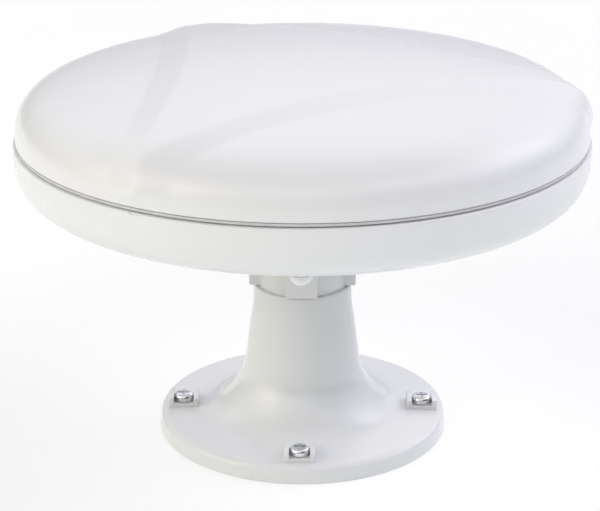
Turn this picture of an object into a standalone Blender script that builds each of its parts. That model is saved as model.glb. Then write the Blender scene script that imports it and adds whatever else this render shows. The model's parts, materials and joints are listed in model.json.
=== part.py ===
"""Marine three-antenna GNSS receiver on a deck pedestal.

A shallow two-shell dome holds three patch antennas, a ground plane and the
main board.  Its hub ends in a flanged spigot that a four-lug locking ring
clamps onto the hollow pedestal, so the dome can be turned to the bow and then
locked.  Frame: origin in the middle of the pedestal's underside, +Z up,
front of the unit towards -Y.  Metres; azimuths in degrees from -Y towards +X.
"""
import math

import bmesh
import bpy
import numpy as np
from mathutils import Vector

# ---------------------------------------------------------------- dimensions
GAP = 0.0003                # running gap between neighbouring pieces

# Dome
DOME_R = 0.170              # nominal dome radius
SEAM_Z = 0.1894             # height of the split between the two shells
WALL = 0.003                # shell thickness
SEAM_GAP = 0.0013           # each shell's edge stands this far from the split

CROWN_RIM = 0.996           # upper shell: edge radius / nominal
CROWN_SHOULDER = 0.160      # shoulder height / nominal
CROWN_BOW = 0.088           # crown height over the shoulder / nominal
CROWN_POWERS = (14.0, 2.7277)           # superellipse: radius power, height root
BELLY_RIM = 1.0039          # lower shell: edge radius / nominal
BELLY_DEPTH = 0.2408        # depth / nominal
BELLY_POWERS = (6.0, 3.76)

# Three-pointed raised field on the crown
POINT_AZ = -31.0            # azimuth of the first point
RELIEF_H = 0.0026           # step up to the field
TIP_H = 0.0011              # added to it towards the points
# Flank edges / nominal: coefficients of s^0, s^2, s^4, s being the distance
# along the flank from its middle
EDGE_TOP = (0.405, 0.130, -0.028)       # inner edge
EDGE_FOOT = (0.507, 0.105, 0.029)       # outer edge
FADE_START, FADE_SPAN = 0.018, 0.042    # heights over the split / nominal

FACET_AZ = POINT_AZ + 30.0  # where the facets of the large turned pieces start
FLANK_AZ = [POINT_AZ + 60.0 + 120.0 * k for k in range(3)]

# Shell screws, breather and ground plane
SCREW_R = 0.146             # circle of the six shell screws
SCREW_AZ = [POINT_AZ + 30.0 + 60.0 * k for k in range(6)]
SCREW_SEAT = SEAM_Z - 0.020             # face the screw heads bear on
VENT_R = 0.126              # breather's distance from the axis
VENT_AZ = POINT_AZ + 30.6
VENT_SEAT = SEAM_Z - 0.0412             # face the breather bears on
POST_R = 0.120              # circle of the three posts, at the flanks' azimuths
POST_HOLE_R = 0.0018        # screw holes in posts and ground plane
PLANE_Z = SEAM_Z - 0.0050   # ground plane underside
PLANE_TOP = PLANE_Z + 0.0015

# Electronics
ANTENNA_R = 0.092           # circle of the three patch antennas
CIRCUIT_T = 0.0016          # thickness of all circuit boards
BOARD_R = 0.062
BOARD_Z = SEAM_Z - 0.0228   # main board underside
PARTS_Z = BOARD_Z + CIRCUIT_T + GAP     # underside of the parts on the board
PLUG_SIZE = (0.014, 0.008, 0.0060)      # connector under the main board
PLUG_Y = -0.030
WEB_LOW, WEB_TOP = 0.1220, 0.1260       # web of the hub that holds the socket
SOCKET_COLLAR_TOP, SOCKET_TOP = 0.1206, 0.1340

# Pedestal
FLANGE_R = 0.0889           # pedestal foot
NECK_R = 0.0226             # neck inside the locking ring
NECK_TOP = 0.1060
COLUMN_TOP = 0.0928
BORE_R = 0.017
FIX_R = 0.0743              # circle of the four deck screws
FIX_AZ = [-1.4 + 90.0 * k for k in range(4)]

# Coupling, stacked upwards from the neck
SPIGOT_LOW = NECK_TOP + 0.0013 + GAP    # underside of the spigot's flange
SPIGOT_LEDGE = SPIGOT_LOW + 0.0036      # upper face of that flange
WASHER_LOW = SPIGOT_LEDGE + GAP
WASHER_TOP = WASHER_LOW + 0.0008
RING_LOW, RING_TOP = COLUMN_TOP + GAP, 0.1170
RING_R, RING_BORE, RING_EYE = 0.0273, 0.0230, 0.0196
LUG_COUNT = 4
LUG_AZ = -1.0               # azimuth of the first lug
LUG_R, LUG_ROOT_R = 0.0325, 0.0245      # outer and inner faces
LUG_W, LUG_H, LUG_MID_Z = 0.0204, 0.0190, 0.1033

# ---------------------------------------------------------------- finishes
SHELL = dict(rgb=(0.86, 0.86, 0.87), rough=0.38)
CASTING = dict(rgb=(0.72, 0.73, 0.74), rough=0.42)
STEEL = dict(rgb=(0.78, 0.78, 0.80), rough=0.16, metal=1.0)
RUBBER = dict(rgb=(0.30, 0.30, 0.31), rough=0.75)
SEAL = dict(rgb=(0.05, 0.05, 0.055), rough=0.7)
BOARD = dict(rgb=(0.03, 0.22, 0.10), rough=0.45)
CERAMIC = dict(rgb=(0.72, 0.66, 0.55), rough=0.6)
SILVER = dict(rgb=(0.85, 0.85, 0.84), rough=0.28, metal=1.0)
ALLOY = dict(rgb=(0.80, 0.81, 0.82), rough=0.35, metal=1.0)
BLACK = dict(rgb=(0.03, 0.03, 0.03), rough=0.5)
TRANSLUCENT = dict(rgb=(0.88, 0.88, 0.88), rough=0.2, alpha=0.75)
MEMBRANE = dict(rgb=(0.92, 0.92, 0.90), rough=0.8)
FERRITE = dict(rgb=(0.12, 0.12, 0.13), rough=0.6)
IVORY = dict(rgb=(0.85, 0.84, 0.78), rough=0.5)
BRASS = dict(rgb=(0.80, 0.62, 0.30), rough=0.3, metal=1.0)
NICKEL = dict(rgb=(0.75, 0.72, 0.66), rough=0.3, metal=1.0)
SHEATH = dict(rgb=(0.06, 0.06, 0.07), rough=0.6)
WASHER = dict(rgb=(0.90, 0.90, 0.88), rough=0.4)


def material(name, rgb, rough, metal=0.0, alpha=1.0):
    made = bpy.data.materials.new(name)
    made.use_nodes = True
    inputs = made.node_tree.nodes["Principled BSDF"].inputs
    inputs["Base Color"].default_value = (*rgb, 1.0)
    inputs["Roughness"].default_value = rough
    inputs["Metallic"].default_value = metal
    inputs["Alpha"].default_value = alpha
    made.diffuse_color = (*rgb, alpha)
    return made


# ---------------------------------------------------------------- solids
def new_collection(name):
    made = bpy.data.collections.new(name)
    bpy.context.scene.collection.children.link(made)
    return made


def place(name, data, finish=None, location=(0, 0, 0), turn=0.0):
    """New object; without a finish it is a helper for a boolean."""
    piece = bpy.data.objects.new(name, data)
    (CUTTERS if finish is None else PARTS).objects.link(piece)
    if finish is not None:
        data.materials.append(material(name + "_finish", **finish))
    piece.location = location
    piece.rotation_euler = (0.0, 0.0, math.radians(turn))
    return piece


def mesh_from(build, name):
    mesh = bpy.data.meshes.new(name)
    build.to_mesh(mesh)
    build.free()
    return mesh


def polar(radius, azimuth, z=0.0):
    """Point at an azimuth in degrees, counted from -Y towards +X."""
    angle = math.radians(azimuth)
    return Vector((radius * math.sin(angle), -radius * math.cos(angle), z))


def baked(piece):
    """The object's evaluated mesh, in world space, on a plain object."""
    bpy.context.view_layer.update()
    depsgraph = bpy.context.evaluated_depsgraph_get()
    mesh = bpy.data.meshes.new_from_object(piece.evaluated_get(depsgraph))
    mesh.transform(piece.matrix_world)
    name = piece.name
    home = piece.users_collection[0]
    finishes = list(piece.data.materials)
    bpy.data.objects.remove(piece, do_unlink=True)

    build = bmesh.new()
    build.from_mesh(mesh)
    bmesh.ops.remove_doubles(build, verts=build.verts, dist=2e-6)
    bmesh.ops.recalc_face_normals(build, faces=build.faces)
    build.to_mesh(mesh)
    build.free()

    # Booleans can leave extra slots, so only the piece's own finish is kept
    mesh.materials.clear()
    for finish in finishes:
        mesh.materials.append(finish)
    for face in mesh.polygons:
        face.material_index = 0
    plain = bpy.data.objects.new(name, mesh)
    home.objects.link(plain)
    return plain


def turned(name, profile, steps, finish, closed=False, at=(0, 0), turn=0.0):
    """Solid of revolution from (radius, z) points down its outer side."""
    count = len(profile)
    edges = [(i, i + 1) for i in range(count - 1)]
    if closed:
        edges.append((count - 1, 0))
    mesh = bpy.data.meshes.new(name)
    mesh.from_pydata([(radius, 0.0, z) for radius, z in profile], edges, [])
    piece = place(name, mesh, finish, (at[0], at[1], 0.0), turn)
    screw = piece.modifiers.new("Screw", "SCREW")
    screw.axis = "Z"
    screw.angle = math.tau
    screw.steps = steps
    screw.render_steps = steps
    screw.use_merge_vertices = True
    screw.merge_threshold = 0.00001
    screw.use_smooth_shade = True
    return piece


def lifted(base, profile):
    return [(radius, base + z) for radius, z in profile]


def flat_ring(name, outer, inner, low, high, steps, finish, at=(0, 0), turn=0.0):
    """Ring of rectangular section."""
    section = [(outer, high), (outer, low), (inner, low), (inner, high)]
    return turned(name, section, steps, finish, True, at, turn)


def rod(name, radius, low, high, steps, at=(0, 0), finish=None, turn=0.0,
        top_radius=None):
    """Upright cylinder, or a cone if it has another top radius."""
    build = bmesh.new()
    bmesh.ops.create_cone(build, cap_ends=True, cap_tris=False, segments=steps,
                          radius1=radius, radius2=top_radius or radius,
                          depth=high - low)
    bmesh.ops.translate(build, verts=build.verts, vec=(0, 0, (low + high) / 2))
    return place(name, mesh_from(build, name), finish, (at[0], at[1], 0.0), turn)


def block(name, size, centre, turn=0.0, bevel=0.0, finish=None):
    build = bmesh.new()
    bmesh.ops.create_cube(build, size=1.0)
    bmesh.ops.scale(build, vec=size, verts=build.verts)
    piece = place(name, mesh_from(build, name), finish, centre, turn)
    if bevel > 0:
        edge = piece.modifiers.new("Bevel", "BEVEL")
        edge.width = bevel
        edge.segments = 1
    return piece


def wire(name, points, radius, finish):
    curve = bpy.data.curves.new(name, "CURVE")
    curve.dimensions = "3D"
    curve.bevel_depth = radius
    curve.bevel_resolution = 1
    curve.use_fill_caps = True
    spline = curve.splines.new("POLY")
    spline.points.add(len(points) - 1)
    for knot, point in zip(spline.points, points):
        knot.co = (*point, 1.0)
    return baked(place(name, curve, finish))


def boolean(piece, others, operation):
    """Combine the piece with each other solid in turn and use those up."""
    for other in others:
        step = piece.modifiers.new("Bool", "BOOLEAN")
        step.operation = operation
        step.solver = "EXACT"
        step.object = other
        other.hide_render = True
    piece = baked(piece)
    for other in others:
        bpy.data.objects.remove(other, do_unlink=True)
    return piece


# ---------------------------------------------------------------- curves
def soften(points, rounds):
    """Round the corners of a path by cutting them (Chaikin)."""
    path = [Vector(point) for point in points]
    for _ in range(rounds):
        cut = [path[0]]
        for start, end in zip(path, path[1:]):
            cut += [start.lerp(end, 0.25), start.lerp(end, 0.75)]
        cut.append(path[-1])
        path = cut
    return path


def spread(points, count, bend=0.02):
    """Pick points along a dense curve, closer together where it turns.

    One radian of turn weighs as much as a length of bend.
    """
    curve = np.array(points, float)
    steps = np.diff(curve, axis=0)
    length = np.hypot(steps[:, 0], steps[:, 1])
    angle = np.unwrap(np.arctan2(steps[:, 1], steps[:, 0]))
    turn = np.abs(np.diff(angle, prepend=angle[0]))
    weight = np.concatenate([[0.0], np.cumsum(length + bend * turn)])
    return [(float(np.interp(stop, weight, curve[:, 0])),
             float(np.interp(stop, weight, curve[:, 1])))
            for stop in np.linspace(0.0, weight[-1], count)]


def offset(points, distance):
    """Shift a curve towards its right-hand side."""
    curve = np.array(points, float)
    along = np.gradient(curve, axis=0)
    normal = np.stack([along[:, 1], -along[:, 0]], axis=1)
    normal /= np.maximum(np.hypot(normal[:, 0], normal[:, 1])[:, None], 1e-12)
    return [tuple(point) for point in curve + normal * distance]


def superellipse(q, powers):
    return (1 - q ** powers[0]) ** (1 / powers[1])


def crown_z(radius):
    """Upper shell's height over the split, without the raised field."""
    q = min(abs(radius) / (CROWN_RIM * DOME_R), 1.0)
    return DOME_R * (CROWN_SHOULDER * superellipse(q, CROWN_POWERS)
                     + CROWN_BOW * (1 - q * q))


def belly_z(radius):
    """Lower shell's height over the split (negative)."""
    q = min(abs(radius) / (BELLY_RIM * DOME_R), 1.0)
    return -DOME_R * BELLY_DEPTH * superellipse(q, BELLY_POWERS)


def rim_curve(height, rim, start):
    """Dense curve from a radius out to the shell's edge by the split."""
    end = rim * DOME_R
    radii = end - (end - start) * np.linspace(1.0, 0.0, 900) ** 3
    points = [(float(radius), height(float(radius))) for radius in radii]
    points = [point for point in points if abs(point[1]) > SEAM_GAP]
    points.append((points[-1][0], math.copysign(SEAM_GAP, points[0][1])))
    return points


def field(x, y):
    """1 on the raised three-pointed field, 0 outside its hollow flanks."""
    fall = 0.0
    for azimuth in FLANK_AZ:
        angle = math.radians(azimuth)
        out = (x * math.sin(angle) - y * math.cos(angle)) / DOME_R
        side = (x * math.cos(angle) + y * math.sin(angle)) / DOME_R
        top, foot = (edge[0] + edge[1] * side ** 2 + edge[2] * side ** 4
                     for edge in (EDGE_TOP, EDGE_FOOT))
        fall = max(fall, min(max((out - top) / (foot - top), 0.0), 1.0))
    return 1.0 - fall


def relief(x, y, z):
    """Rise of the field; it runs out before it reaches the split."""
    q = min(math.hypot(x, y) / DOME_R, 1.0)
    fade = min(max((z / DOME_R - FADE_START) / FADE_SPAN, 0.0), 1.0)
    fade = fade * fade * (3 - 2 * fade)
    return (RELIEF_H + TIP_H * q ** 5) * field(x, y) * fade


def inside_crown(x, y):
    """Height over the split of the middle of the upper shell's wall."""
    z = crown_z(math.hypot(x, y))
    return z + relief(x, y, z) - 0.5 * WALL


def inside_belly(x, y):
    """The same for the lower shell, measured vertically."""
    return belly_z(math.hypot(x, y)) + 0.5 * WALL


def fit_end(post, is_end, height):
    """Shape one end of a post to a surface over the split."""
    bpy.context.view_layer.update()
    for vert in post.data.vertices:
        if is_end(vert.co.z):
            spot = post.matrix_world @ vert.co
            vert.co.z = SEAM_Z + height(spot.x, spot.y)
    return post


# ================================================================ head
def raise_field(shell):
    """Push both faces of the shell outwards over the raised field."""
    centre = Vector((0, 0, SEAM_Z - 0.05))
    shifts = []
    for vert in shell.data.vertices:
        outwards = vert.normal.dot(vert.co - centre) > 0
        out = vert.normal if outwards else -vert.normal
        shifts.append(out * relief(vert.co.x, vert.co.y, vert.co.z - SEAM_Z))
    for vert, shift in zip(shell.data.vertices, shifts):
        vert.co += shift


def upper_radome():
    outer = rim_curve(crown_z, CROWN_RIM, 0.0)
    inner = [point for point in offset(outer, WALL) if point[1] > SEAM_GAP + 0.002]
    inner[0] = (0.0, inner[0][1])
    profile = spread(outer, 13)
    profile.append((CROWN_RIM * DOME_R - WALL, SEAM_GAP))
    profile += spread(inner, 8)[::-1]
    shell = baked(turned("upper_radome", lifted(SEAM_Z, profile), 60, SHELL,
                         turn=FACET_AZ))
    raise_field(shell)

    bosses, drills = [], []
    for k, azimuth in enumerate(SCREW_AZ):
        at = polar(SCREW_R, azimuth)
        boss = rod(f"boss_{k}", 0.005, SEAM_Z - 0.002, SEAM_Z + 0.02, 12, at,
                   turn=azimuth)
        bosses.append(fit_end(boss, lambda z: z > SEAM_Z, inside_crown))
        drills.append(rod(f"drill_{k}", 0.0023, SEAM_Z - 0.003, SEAM_Z + 0.014,
                          10, at))
    shell = boolean(shell, bosses, "UNION")
    boolean(shell, drills, "DIFFERENCE")


def housing_profile():
    """Closed (radius, z) section of the lower shell, hub and spigot."""
    outer = rim_curve(belly_z, BELLY_RIM, 0.060)
    inner = [point for point in offset(outer, -WALL)
             if point[1] < -SEAM_GAP - 0.004 and point[0] > 0.052]
    hub = [
        (0.0470, 0.1432), (0.0340, 0.1290), (0.0262, 0.1215), (0.0190, 0.1215),
        (0.0190, SPIGOT_LEDGE), (0.0224, SPIGOT_LEDGE),
        (0.0224, SPIGOT_LOW), (0.0150, SPIGOT_LOW),
        (0.0150, WEB_LOW), (0.0084, WEB_LOW), (0.0084, WEB_TOP),
        (0.0200, WEB_TOP), (0.0280, 0.1315), (0.0410, 0.1455),
    ]
    # Lip that stands up inside the split; z from the split
    lip = [(0.1622, -0.006), (0.1622, 0.0045), (0.1656, 0.0045),
           (0.1656, -SEAM_GAP)]
    return (lifted(SEAM_Z, spread(outer, 9)[::-1]) + hub
            + lifted(SEAM_Z, spread(inner, 6)) + lifted(SEAM_Z, lip))


def lower_housing():
    house = baked(turned("lower_housing", housing_profile(), 48, SHELL,
                         closed=True, turn=FACET_AZ))
    adds, cuts = [], []
    for k, azimuth in enumerate(SCREW_AZ):
        at = polar(SCREW_R, azimuth)
        pillar = rod(f"pillar_{k}", 0.0055, SEAM_Z - 0.02, SEAM_Z - 0.0026, 12,
                     at, turn=azimuth)
        adds.append(fit_end(pillar, lambda z: z < SEAM_Z - 0.01, inside_belly))
        cuts.append(rod(f"sink_{k}", 0.0038, SEAM_Z - 0.045, SCREW_SEAT, 12,
                        at, turn=azimuth))
        cuts.append(rod(f"hole_{k}", 0.0024, SEAM_Z - 0.021, SEAM_Z, 10, at))
    for k, azimuth in enumerate(FLANK_AZ):
        at = polar(POST_R, azimuth)
        adds.append(rod(f"post_{k}", 0.0055, SEAM_Z - 0.0385, PLANE_Z - GAP, 12,
                        at, top_radius=0.0045))
        cuts.append(rod(f"tap_{k}", POST_HOLE_R, SEAM_Z - 0.018, SEAM_Z, 8, at))
    vent = polar(VENT_R, VENT_AZ)
    adds.append(rod("vent_seat", 0.0085, VENT_SEAT, SEAM_Z - 0.0375, 20, vent,
                    top_radius=0.0092))
    cuts.append(rod("vent_hole", 0.0043, SEAM_Z - 0.050, SEAM_Z - 0.030, 12,
                    vent))
    # Bow mark: a notch in the edge
    cuts.append(block("bow_notch", (0.0074, 0.0052, 0.0019),
                      polar(0.1720, POINT_AZ, SEAM_Z - SEAM_GAP), POINT_AZ))
    house = boolean(house, adds, "UNION")
    boolean(house, cuts, "DIFFERENCE")


def rim_gasket():
    """Stepped gasket in the split."""
    section = [(0.1690, 0.0010), (0.1690, -0.0005), (0.1673, -0.0005),
               (0.1673, -0.0010), (0.1660, -0.0010), (0.1660, 0.0010)]
    turned("rim_gasket", lifted(SEAM_Z, section), 48, RUBBER, closed=True,
           turn=FACET_AZ)


def housing_screws():
    """Shell screws, heads down."""
    shank = [(0, 0.012), (0.0020, 0.0105)]              # z from the split
    head = [(0.0020, 0), (0.0034, 0), (0.0034, -0.0022),
            (0.0026, -0.0030), (0, -0.0030)]            # z from the head's top
    profile = lifted(SEAM_Z, shank) + lifted(SCREW_SEAT - GAP, head)
    for k, azimuth in enumerate(SCREW_AZ):
        turned(f"housing_screw_{k + 1}", profile, 10, STEEL,
               at=polar(SCREW_R, azimuth))


def breather():
    """Vent cap, seal and membrane in the underside."""
    at = polar(VENT_R, VENT_AZ)
    cap = [(0, 0.0060), (0.0035, 0.0060), (0.0039, 0.0050), (0.0039, -0.0011),
           (0.0066, -0.0011), (0.0066, -0.0024), (0.0056, -0.0048),
           (0.0038, -0.0066), (0.0019, -0.0077), (0, -0.0081)]
    turned("vent_cap", lifted(VENT_SEAT, cap), 20, TRANSLUCENT, at=at)
    flat_ring("vent_seal", 0.0058, 0.0044, VENT_SEAT - 0.0008, VENT_SEAT - GAP,
              16, SEAL, at)
    membrane_low = VENT_SEAT + 0.0060 + GAP
    rod("vent_membrane", 0.0034, membrane_low, membrane_low + 0.0006, 12, at,
        MEMBRANE)


def ground_plane():
    plane = flat_ring("ground_plane", 0.1390, 0.0140, PLANE_Z, PLANE_TOP, 48,
                      ALLOY, turn=FACET_AZ)
    cuts = [rod(f"cut_{k}", POST_HOLE_R, PLANE_Z - 0.01, PLANE_Z + 0.01, 8,
                polar(POST_R, azimuth))
            for k, azimuth in enumerate(FLANK_AZ)]
    boolean(plane, cuts, "DIFFERENCE")

    screw = [(0, 0.0020), (0.0020, 0.0020), (0.0028, 0.0012), (0.0028, 0),
             (0.0014, 0), (0.0014, -0.0095), (0, -0.0105)]
    for k, azimuth in enumerate(FLANK_AZ):
        turned(f"plane_screw_{k + 1}", lifted(PLANE_TOP + GAP, screw), 10,
               STEEL, at=polar(POST_R, azimuth))


def antennas():
    """Three patch antennas, each a stack of square layers with a lead."""
    layers = [              # name, width, thickness, bevel, finish; upwards
        ("antenna_board", 0.064, CIRCUIT_T, 0.0, BOARD),
        ("patch_antenna", 0.046, 0.0065, 0.0008, CERAMIC),
        ("patch_electrode", 0.039, 0.0004, 0.0, SILVER),
    ]
    lead = [                # radius, z
        (0.0660, PLANE_TOP + 0.0034), (0.0480, PLANE_TOP + 0.0034),
        (0.0400, PLANE_TOP + 0.0014), (0.0150, PLANE_TOP + 0.0014),
        (0.0100, PLANE_TOP - 0.0010), (0.0100, BOARD_Z + 0.0024),
    ]
    for k in range(3):
        azimuth = POINT_AZ + 120.0 * k
        z = PLANE_TOP
        for name, width, thick, bevel, finish in layers:
            z += GAP
            block(f"{name}_{k + 1}", (width, width, thick),
                  polar(ANTENNA_R, azimuth, z + thick / 2), azimuth, bevel, finish)
            z += thick
        path = [polar(radius, azimuth, z) for radius, z in lead]
        wire(f"coax_lead_{k + 1}", soften(path, 1), 0.0009, BLACK)


def main_board():
    rod("main_board", BOARD_R, BOARD_Z, BOARD_Z + CIRCUIT_T, 40, finish=BOARD)
    components = [          # name, size, x, y, bevel, finish
        ("rf_shield_can", (0.034, 0.026, 0.0045), -0.028, 0.016, 0.0008, ALLOY),
        ("processor_chip", (0.015, 0.015, 0.0014), 0.030, 0.010, 0.0002, BLACK),
        ("memory_chip", (0.011, 0.008, 0.0011), 0.030, -0.010, 0.0002, BLACK),
        ("imu_module", (0.012, 0.012, 0.0030), 0.000, 0.032, 0.0004, BLACK),
        ("power_inductor", (0.011, 0.011, 0.0055), -0.022, -0.024, 0.0016, FERRITE),
    ]
    for name, size, x, y, bevel, finish in components:
        block(name, size, (x, y, PARTS_Z + size[2] / 2), 0, bevel, finish)
    block("board_connector", PLUG_SIZE,
          (0, PLUG_Y, BOARD_Z - GAP - PLUG_SIZE[2] / 2), 0, 0.0004, IVORY)
    for k in range(4):
        rod(f"board_standoff_{k + 1}", 0.0030, PARTS_Z, PLANE_Z - GAP, 6,
            polar(0.0530, 45.0 + 90.0 * k), BRASS)


def cable_socket():
    """Socket in the hub's web, its seal and nut, and the harness above."""
    turned("bulkhead_connector", [
        (0, SOCKET_TOP), (0.0062, SOCKET_TOP), (0.0062, 0.1322), (0.0080, 0.1322),
        (0.0080, SOCKET_COLLAR_TOP), (0.0118, SOCKET_COLLAR_TOP),
        (0.0118, 0.1182), (0.0090, 0.1182), (0.0090, 0.1040), (0.0076, 0.1040),
        (0.0076, 0.1120), (0, 0.1120)], 16, BLACK)
    flat_ring("connector_seal", 0.0112, 0.0086, SOCKET_COLLAR_TOP + GAP,
              WEB_LOW - GAP, 20, SEAL)
    nut = rod("connector_nut", 0.0118, WEB_TOP + GAP, 0.1300, 6, finish=NICKEL)
    boolean(nut, [rod("nut_bore", 0.0083, 0.12, 0.14, 16)], "DIFFERENCE")
    plug_low = BOARD_Z - GAP - PLUG_SIZE[2]
    path = [(0, 0, SOCKET_TOP + GAP), (0, 0, 0.1460), (0, PLUG_Y, 0.1480),
            (0, PLUG_Y, plug_low - GAP)]
    wire("wire_harness", soften(path, 2), 0.0024, SHEATH)


# ================================================================ pedestal
# (radius, z) down the outside, then up the inside
PEDESTAL_OUTER = [
    (NECK_R - 0.0008, NECK_TOP), (NECK_R, NECK_TOP - 0.0008),
    (NECK_R, COLUMN_TOP), (0.0290, COLUMN_TOP), (0.0297, COLUMN_TOP - 0.0008),
    (0.0304, 0.0802), (0.0327, 0.0642), (0.0354, 0.0440), (0.0375, 0.0350),
    (0.0405, 0.0292), (0.0440, 0.0240), (0.0480, 0.0190), (0.0530, 0.0145),
    (0.0590, 0.0119), (0.0650, 0.0112), (0.0826, 0.0106), (0.0857, 0.0097),
    (0.0878, 0.0076), (0.0887, 0.0048), (FLANGE_R, 0.0),
]
PEDESTAL_HOLLOW = [
    (0.0600, 0.0), (0.0560, 0.0072), (0.0420, 0.0180), (0.0335, 0.0300),
    (0.0305, 0.0440), (0.0275, 0.0640), (0.0240, 0.0830),
    (BORE_R, 0.0900), (BORE_R, NECK_TOP),
]
# Deck screws bear a little above the foot's upper face, between two cheeks
FIX_SEAT = float(np.interp(FIX_R, *zip(*PEDESTAL_OUTER))) + 0.0020
CHEEK_LOW, CHEEK_TOP = 0.004, FIX_SEAT + 0.0039


def pedestal():
    foot = baked(turned("pedestal", PEDESTAL_OUTER + PEDESTAL_HOLLOW, 40,
                        CASTING, closed=True))
    adds, cuts = [], []
    for k, azimuth in enumerate(FIX_AZ):
        x, y, _ = at = polar(FIX_R, azimuth)
        adds.append(block(f"seat_{k}", (0.0186, 0.0155, CHEEK_TOP - CHEEK_LOW),
                          (x, y, (CHEEK_TOP + CHEEK_LOW) / 2)))
        cuts.append(block(f"pocket_{k}", (0.0125, 0.0165, 0.020),
                          (x, y, FIX_SEAT + 0.010)))
        cuts.append(rod(f"fix_{k}", 0.0034, -0.01, 0.04, 12, at))
    foot = boolean(foot, adds, "UNION")
    boolean(foot, cuts, "DIFFERENCE")


def base_screws():
    """Deck screws with cross slots."""
    head_low = FIX_SEAT + GAP
    head = [(0, 0.0047), (0.0038, 0.0046), (0.0054, 0.0040), (0.0060, 0.0028),
            (0.0060, 0), (0.0030, 0)]                   # z from its underside
    shank = [(0.0030, 0.0018), (0.0022, 0.0008), (0, 0.0008)]
    for k, azimuth in enumerate(FIX_AZ):
        x, y, _ = at = polar(FIX_R, azimuth)
        screw = turned(f"base_screw_{k + 1}", lifted(head_low, head) + shank,
                       12, STEEL, at=at)
        slots = [block(f"slot_{k}_{side}", (0.0074, 0.0018, 0.0040),
                       (x, y, head_low + 0.0045), 90 * side)
                 for side in (0, 1)]
        boolean(screw, slots, "DIFFERENCE")


# ================================================================ coupling
def coupling_seals():
    """Seal under the spigot's flange and washer on top of it."""
    flat_ring("spigot_seal", 0.0220, 0.0174, NECK_TOP + GAP, SPIGOT_LOW - GAP,
              24, SEAL)
    flat_ring("slip_washer", 0.0225, 0.0195, WASHER_LOW, WASHER_TOP, 24, WASHER)


def locking_ring():
    ledge = WASHER_TOP + GAP
    ring = baked(turned("locking_ring", [
        (RING_R - 0.0008, RING_TOP), (RING_R, RING_TOP - 0.0008),
        (RING_R, RING_LOW + 0.0005), (RING_R - 0.0005, RING_LOW),
        (RING_BORE, RING_LOW), (RING_BORE, ledge),
        (RING_EYE, ledge), (RING_EYE, RING_TOP)], 36, CASTING, closed=True))
    lugs = []
    for k in range(LUG_COUNT):
        azimuth = LUG_AZ + 360.0 / LUG_COUNT * k
        lugs.append(block(f"lug_{k}", (LUG_W, LUG_R - LUG_ROOT_R, LUG_H),
                          polar((LUG_R + LUG_ROOT_R) / 2, azimuth, LUG_MID_Z),
                          azimuth, 0.0008))
    boolean(ring, lugs, "UNION")


# ================================================================ assembly
for old in list(bpy.data.objects):
    bpy.data.objects.remove(old, do_unlink=True)
PARTS = new_collection("gnss_receiver")
CUTTERS = new_collection("cutters")

upper_radome()
lower_housing()
rim_gasket()
housing_screws()
breather()
ground_plane()
antennas()
main_board()
cable_socket()
pedestal()
base_screws()
coupling_seals()
locking_ring()

for part in PARTS.objects:
    part.data.shade_smooth()
    part.data.set_sharp_from_angle(angle=math.radians(35))
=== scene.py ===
"""A dome antenna on a pedestal.

The dome is an upper radome over a lower housing, joined at a seam. A lugged locking ring
below it meets a flared pedestal that stands on a floor. Metres, +Z up along the shared
axis, pedestal foot at z = 0. The front faces -Y. An azimuth is in degrees from -Y
towards +X. The CAD pieces that get no new mesh are only given materials.
"""
import json
import math

import bmesh
import bpy
import numpy as np
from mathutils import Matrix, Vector


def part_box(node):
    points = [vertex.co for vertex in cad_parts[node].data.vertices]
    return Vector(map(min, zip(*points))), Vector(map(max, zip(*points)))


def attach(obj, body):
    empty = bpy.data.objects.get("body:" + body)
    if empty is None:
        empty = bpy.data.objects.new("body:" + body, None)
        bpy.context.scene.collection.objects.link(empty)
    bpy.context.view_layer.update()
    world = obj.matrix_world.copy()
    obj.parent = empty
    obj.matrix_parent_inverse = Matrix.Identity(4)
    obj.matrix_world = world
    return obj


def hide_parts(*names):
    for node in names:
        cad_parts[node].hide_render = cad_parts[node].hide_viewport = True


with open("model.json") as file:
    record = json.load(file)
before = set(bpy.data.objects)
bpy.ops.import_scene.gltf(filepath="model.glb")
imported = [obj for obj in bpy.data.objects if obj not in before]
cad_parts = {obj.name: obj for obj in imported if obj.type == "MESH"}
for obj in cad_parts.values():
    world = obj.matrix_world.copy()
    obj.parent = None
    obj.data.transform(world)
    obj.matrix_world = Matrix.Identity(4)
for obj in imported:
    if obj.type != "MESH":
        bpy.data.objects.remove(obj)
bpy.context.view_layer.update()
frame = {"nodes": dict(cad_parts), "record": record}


def centre(node):
    """Middle of a CAD piece's box."""
    low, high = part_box(node)
    return tuple(0.5 * (low[axis] + high[axis]) for axis in range(3))


def polar(radius, azimuth, z=0.0):
    angle = math.radians(azimuth)
    return Vector((radius * math.sin(angle), -radius * math.cos(angle), z))


# ============================================================ driving dimensions
# Dome. Rim radii and heights are fractions of DOME_R; the powers shape the curves.
DOME_R = 0.170
SEAM_Z = centre("rim_gasket")[2]
WALL = 0.003
CROWN_RIM, CROWN_H, CROWN_BOW, CROWN_IN_POWER, CROWN_OUT_POWER = 0.996, 0.160, 0.088, 14.0, 2.7277
BELLY_RIM, BELLY_H, BELLY_IN_POWER, BELLY_OUT_POWER = 1.0039, 0.2408, 6.0, 3.76
HALF_GAP = 0.0013                                # each shell stops this far from the seam
EDGE_ROUND = 0.0009                              # rounding of the shell edges at the seam
CURVE_SAMPLES = 6000

# Raised three-sided field on the crown
POINT_AZ = -31.0                                 # azimuth of one of its points
SIDE_AZ = [POINT_AZ + 60.0 + 120.0 * k for k in range(3)]
RELIEF_H, TIP_H = 0.0026, 0.0011                 # lift at the middle, extra towards the rim
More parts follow.
